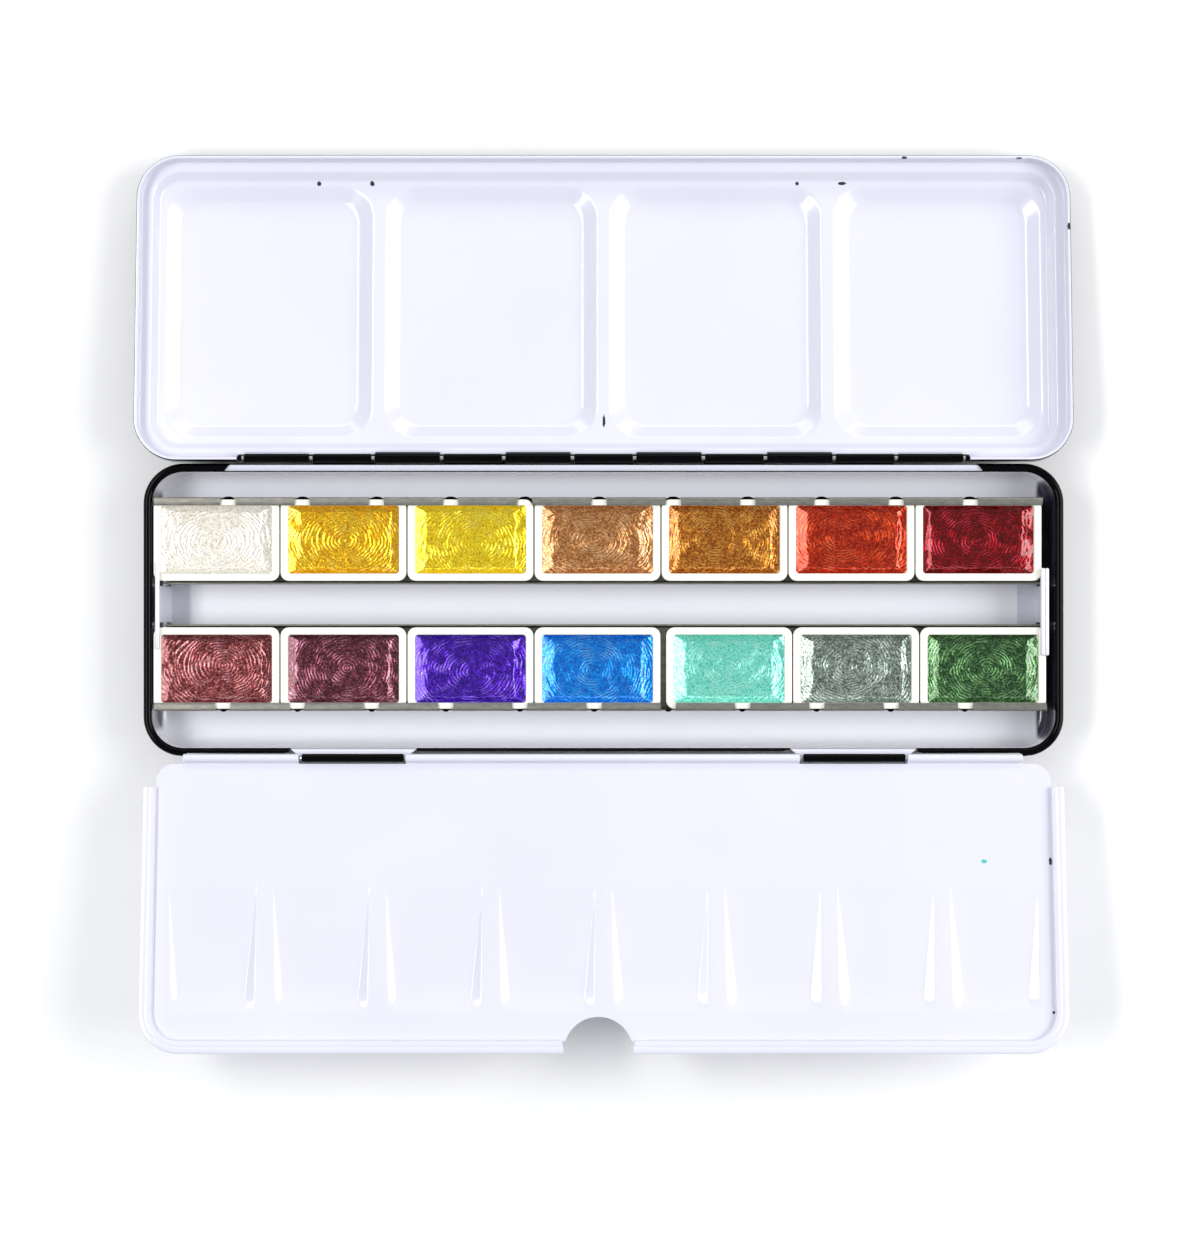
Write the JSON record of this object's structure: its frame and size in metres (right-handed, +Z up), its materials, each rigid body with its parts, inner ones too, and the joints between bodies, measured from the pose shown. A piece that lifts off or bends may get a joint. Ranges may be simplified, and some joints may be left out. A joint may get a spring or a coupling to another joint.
{
  "type": "watercolor pan set",
  "caption": "Slim enamelled paint tin, open flat: hinged lid with mixing wells, fold-out palette leaf and a lift-out clip tray of full pans of pearlescent paint.",
  "frame": {"origin": "centre of the base tin's flat underside", "axes": "+X along the tin's length, +Y towards the lid hinge, +Z up"},
  "size_m": [0.2246, 0.2139, 0.0231],
  "materials": {
    "white_enamel": "glossy baked enamel, cool white",
    "black_enamel": "glossy baked enamel, black",
    "bare_tinplate": "bare rolled tinplate, softly bright",
    "hinge_wire": "bright drawn wire",
    "pan_plastic": "satin moulded plastic, creamy white",
    "paint_pearl_white": "dried pearlescent watercolour with mica flakes",
    "paint_deep_gold": "dried pearlescent watercolour with mica flakes",
    "paint_lemon_gold": "dried pearlescent watercolour with mica flakes",
    "paint_copper_tan": "dried pearlescent watercolour with mica flakes",
    "paint_antique_gold": "dried pearlescent watercolour with mica flakes",
    "paint_copper_red": "dried pearlescent watercolour with mica flakes",
    "paint_crimson": "dried pearlescent watercolour with mica flakes",
    "paint_wine_rose": "dried pearlescent watercolour with mica flakes",
    "paint_plum": "dried pearlescent watercolour with mica flakes",
    "paint_violet": "dried pearlescent watercolour with mica flakes",
    "paint_azure": "dried pearlescent watercolour with mica flakes",
    "paint_mint": "dried pearlescent watercolour with mica flakes",
    "paint_slate_silver": "dried pearlescent watercolour with mica flakes",
    "paint_leaf_green": "dried pearlescent watercolour with mica flakes"
  },
  "bodies": {
    "base": {"base_tin": "black_enamel", "lid_hinge_pin": "hinge_wire", "leaf_hinge_pin": "hinge_wire"},
    "lid": {"lid_shell": "white_enamel"},
    "leaf": {"palette_leaf": "white_enamel"},
    "tray": {"pan_tray": "bare_tinplate", "rear_clip_rail": "bare_tinplate", "front_clip_rail": "bare_tinplate", "left_grip_tab": "bare_tinplate", "right_grip_tab": "bare_tinplate"},
    "rear_pan_1": {"rear_pan_1": "pan_plastic", "rear_paint_1": "paint_pearl_white"},
    "rear_pan_2": {"rear_pan_2": "pan_plastic", "rear_paint_2": "paint_deep_gold"},
    "rear_pan_3": {"rear_pan_3": "pan_plastic", "rear_paint_3": "paint_lemon_gold"},
    "rear_pan_4": {"rear_pan_4": "pan_plastic", "rear_paint_4": "paint_copper_tan"},
    "rear_pan_5": {"rear_pan_5": "pan_plastic", "rear_paint_5": "paint_antique_gold"},
    "rear_pan_6": {"rear_pan_6": "pan_plastic", "rear_paint_6": "paint_copper_red"},
    "rear_pan_7": {"rear_pan_7": "pan_plastic", "rear_paint_7": "paint_crimson"},
    "front_pan_1": {"front_pan_1": "pan_plastic", "front_paint_1": "paint_wine_rose"},
    "front_pan_2": {"front_pan_2": "pan_plastic", "front_paint_2": "paint_plum"},
    "front_pan_3": {"front_pan_3": "pan_plastic", "front_paint_3": "paint_violet"},
    "front_pan_4": {"front_pan_4": "pan_plastic", "front_paint_4": "paint_azure"},
    "front_pan_5": {"front_pan_5": "pan_plastic", "front_paint_5": "paint_mint"},
    "front_pan_6": {"front_pan_6": "pan_plastic", "front_paint_6": "paint_slate_silver"},
    "front_pan_7": {"front_pan_7": "pan_plastic", "front_paint_7": "paint_leaf_green"}
  },
  "joints": [
    {"name": "lid_hinge", "type": "hinge", "parent": "base", "child": "lid", "pos_m": [0, 0.03625, 0.01295], "axis": [-1, 0, 0], "range_deg": [-183, 0]},
    {"name": "leaf_hinge", "type": "hinge", "parent": "base", "child": "leaf", "pos_m": [0, -0.0353, 0.0139], "axis": [1, 0, 0], "range_deg": [-173, 0]},
    {"name": "tray_lift", "type": "slide", "parent": "base", "child": "tray", "axis": [0, 0, 1], "range_m": [0, 0.02]},
    {"name": "rear_pan_1_lift", "type": "slide", "parent": "tray", "child": "rear_pan_1", "axis": [0, 0, 1], "range_m": [0, 0.012], "deforming": ["rear_clip_rail", "left_grip_tab"]},
    {"name": "rear_pan_2_lift", "type": "slide", "parent": "tray", "child": "rear_pan_2", "axis": [0, 0, 1], "range_m": [0, 0.012]},
    {"name": "rear_pan_3_lift", "type": "slide", "parent": "tray", "child": "rear_pan_3", "axis": [0, 0, 1], "range_m": [0, 0.012]},
    {"name": "rear_pan_4_lift", "type": "slide", "parent": "tray", "child": "rear_pan_4", "axis": [0, 0, 1], "range_m": [0, 0.012]},
    {"name": "rear_pan_5_lift", "type": "slide", "parent": "tray", "child": "rear_pan_5", "axis": [0, 0, 1], "range_m": [0, 0.012]},
    {"name": "rear_pan_6_lift", "type": "slide", "parent": "tray", "child": "rear_pan_6", "axis": [0, 0, 1], "range_m": [0, 0.012]},
    {"name": "rear_pan_7_lift", "type": "slide", "parent": "tray", "child": "rear_pan_7", "axis": [0, 0, 1], "range_m": [0, 0.012]},
    {"name": "front_pan_1_lift", "type": "slide", "parent": "tray", "child": "front_pan_1", "axis": [0, 0, 1], "range_m": [0, 0.012]},
    {"name": "front_pan_2_lift", "type": "slide", "parent": "tray", "child": "front_pan_2", "axis": [0, 0, 1], "range_m": [0, 0.012]},
    {"name": "front_pan_3_lift", "type": "slide", "parent": "tray", "child": "front_pan_3", "axis": [0, 0, 1], "range_m": [0, 0.012]},
    {"name": "front_pan_4_lift", "type": "slide", "parent": "tray", "child": "front_pan_4", "axis": [0, 0, 1], "range_m": [0, 0.012]},
    {"name": "front_pan_5_lift", "type": "slide", "parent": "tray", "child": "front_pan_5", "axis": [0, 0, 1], "range_m": [0, 0.012]},
    {"name": "front_pan_6_lift", "type": "slide", "parent": "tray", "child": "front_pan_6", "axis": [0, 0, 1], "range_m": [0, 0.012]},
    {"name": "front_pan_7_lift", "type": "slide", "parent": "tray", "child": "front_pan_7", "axis": [0, 0, 1], "range_m": [0, 0.012], "deforming": ["front_clip_rail", "right_grip_tab"]}
  ]
}
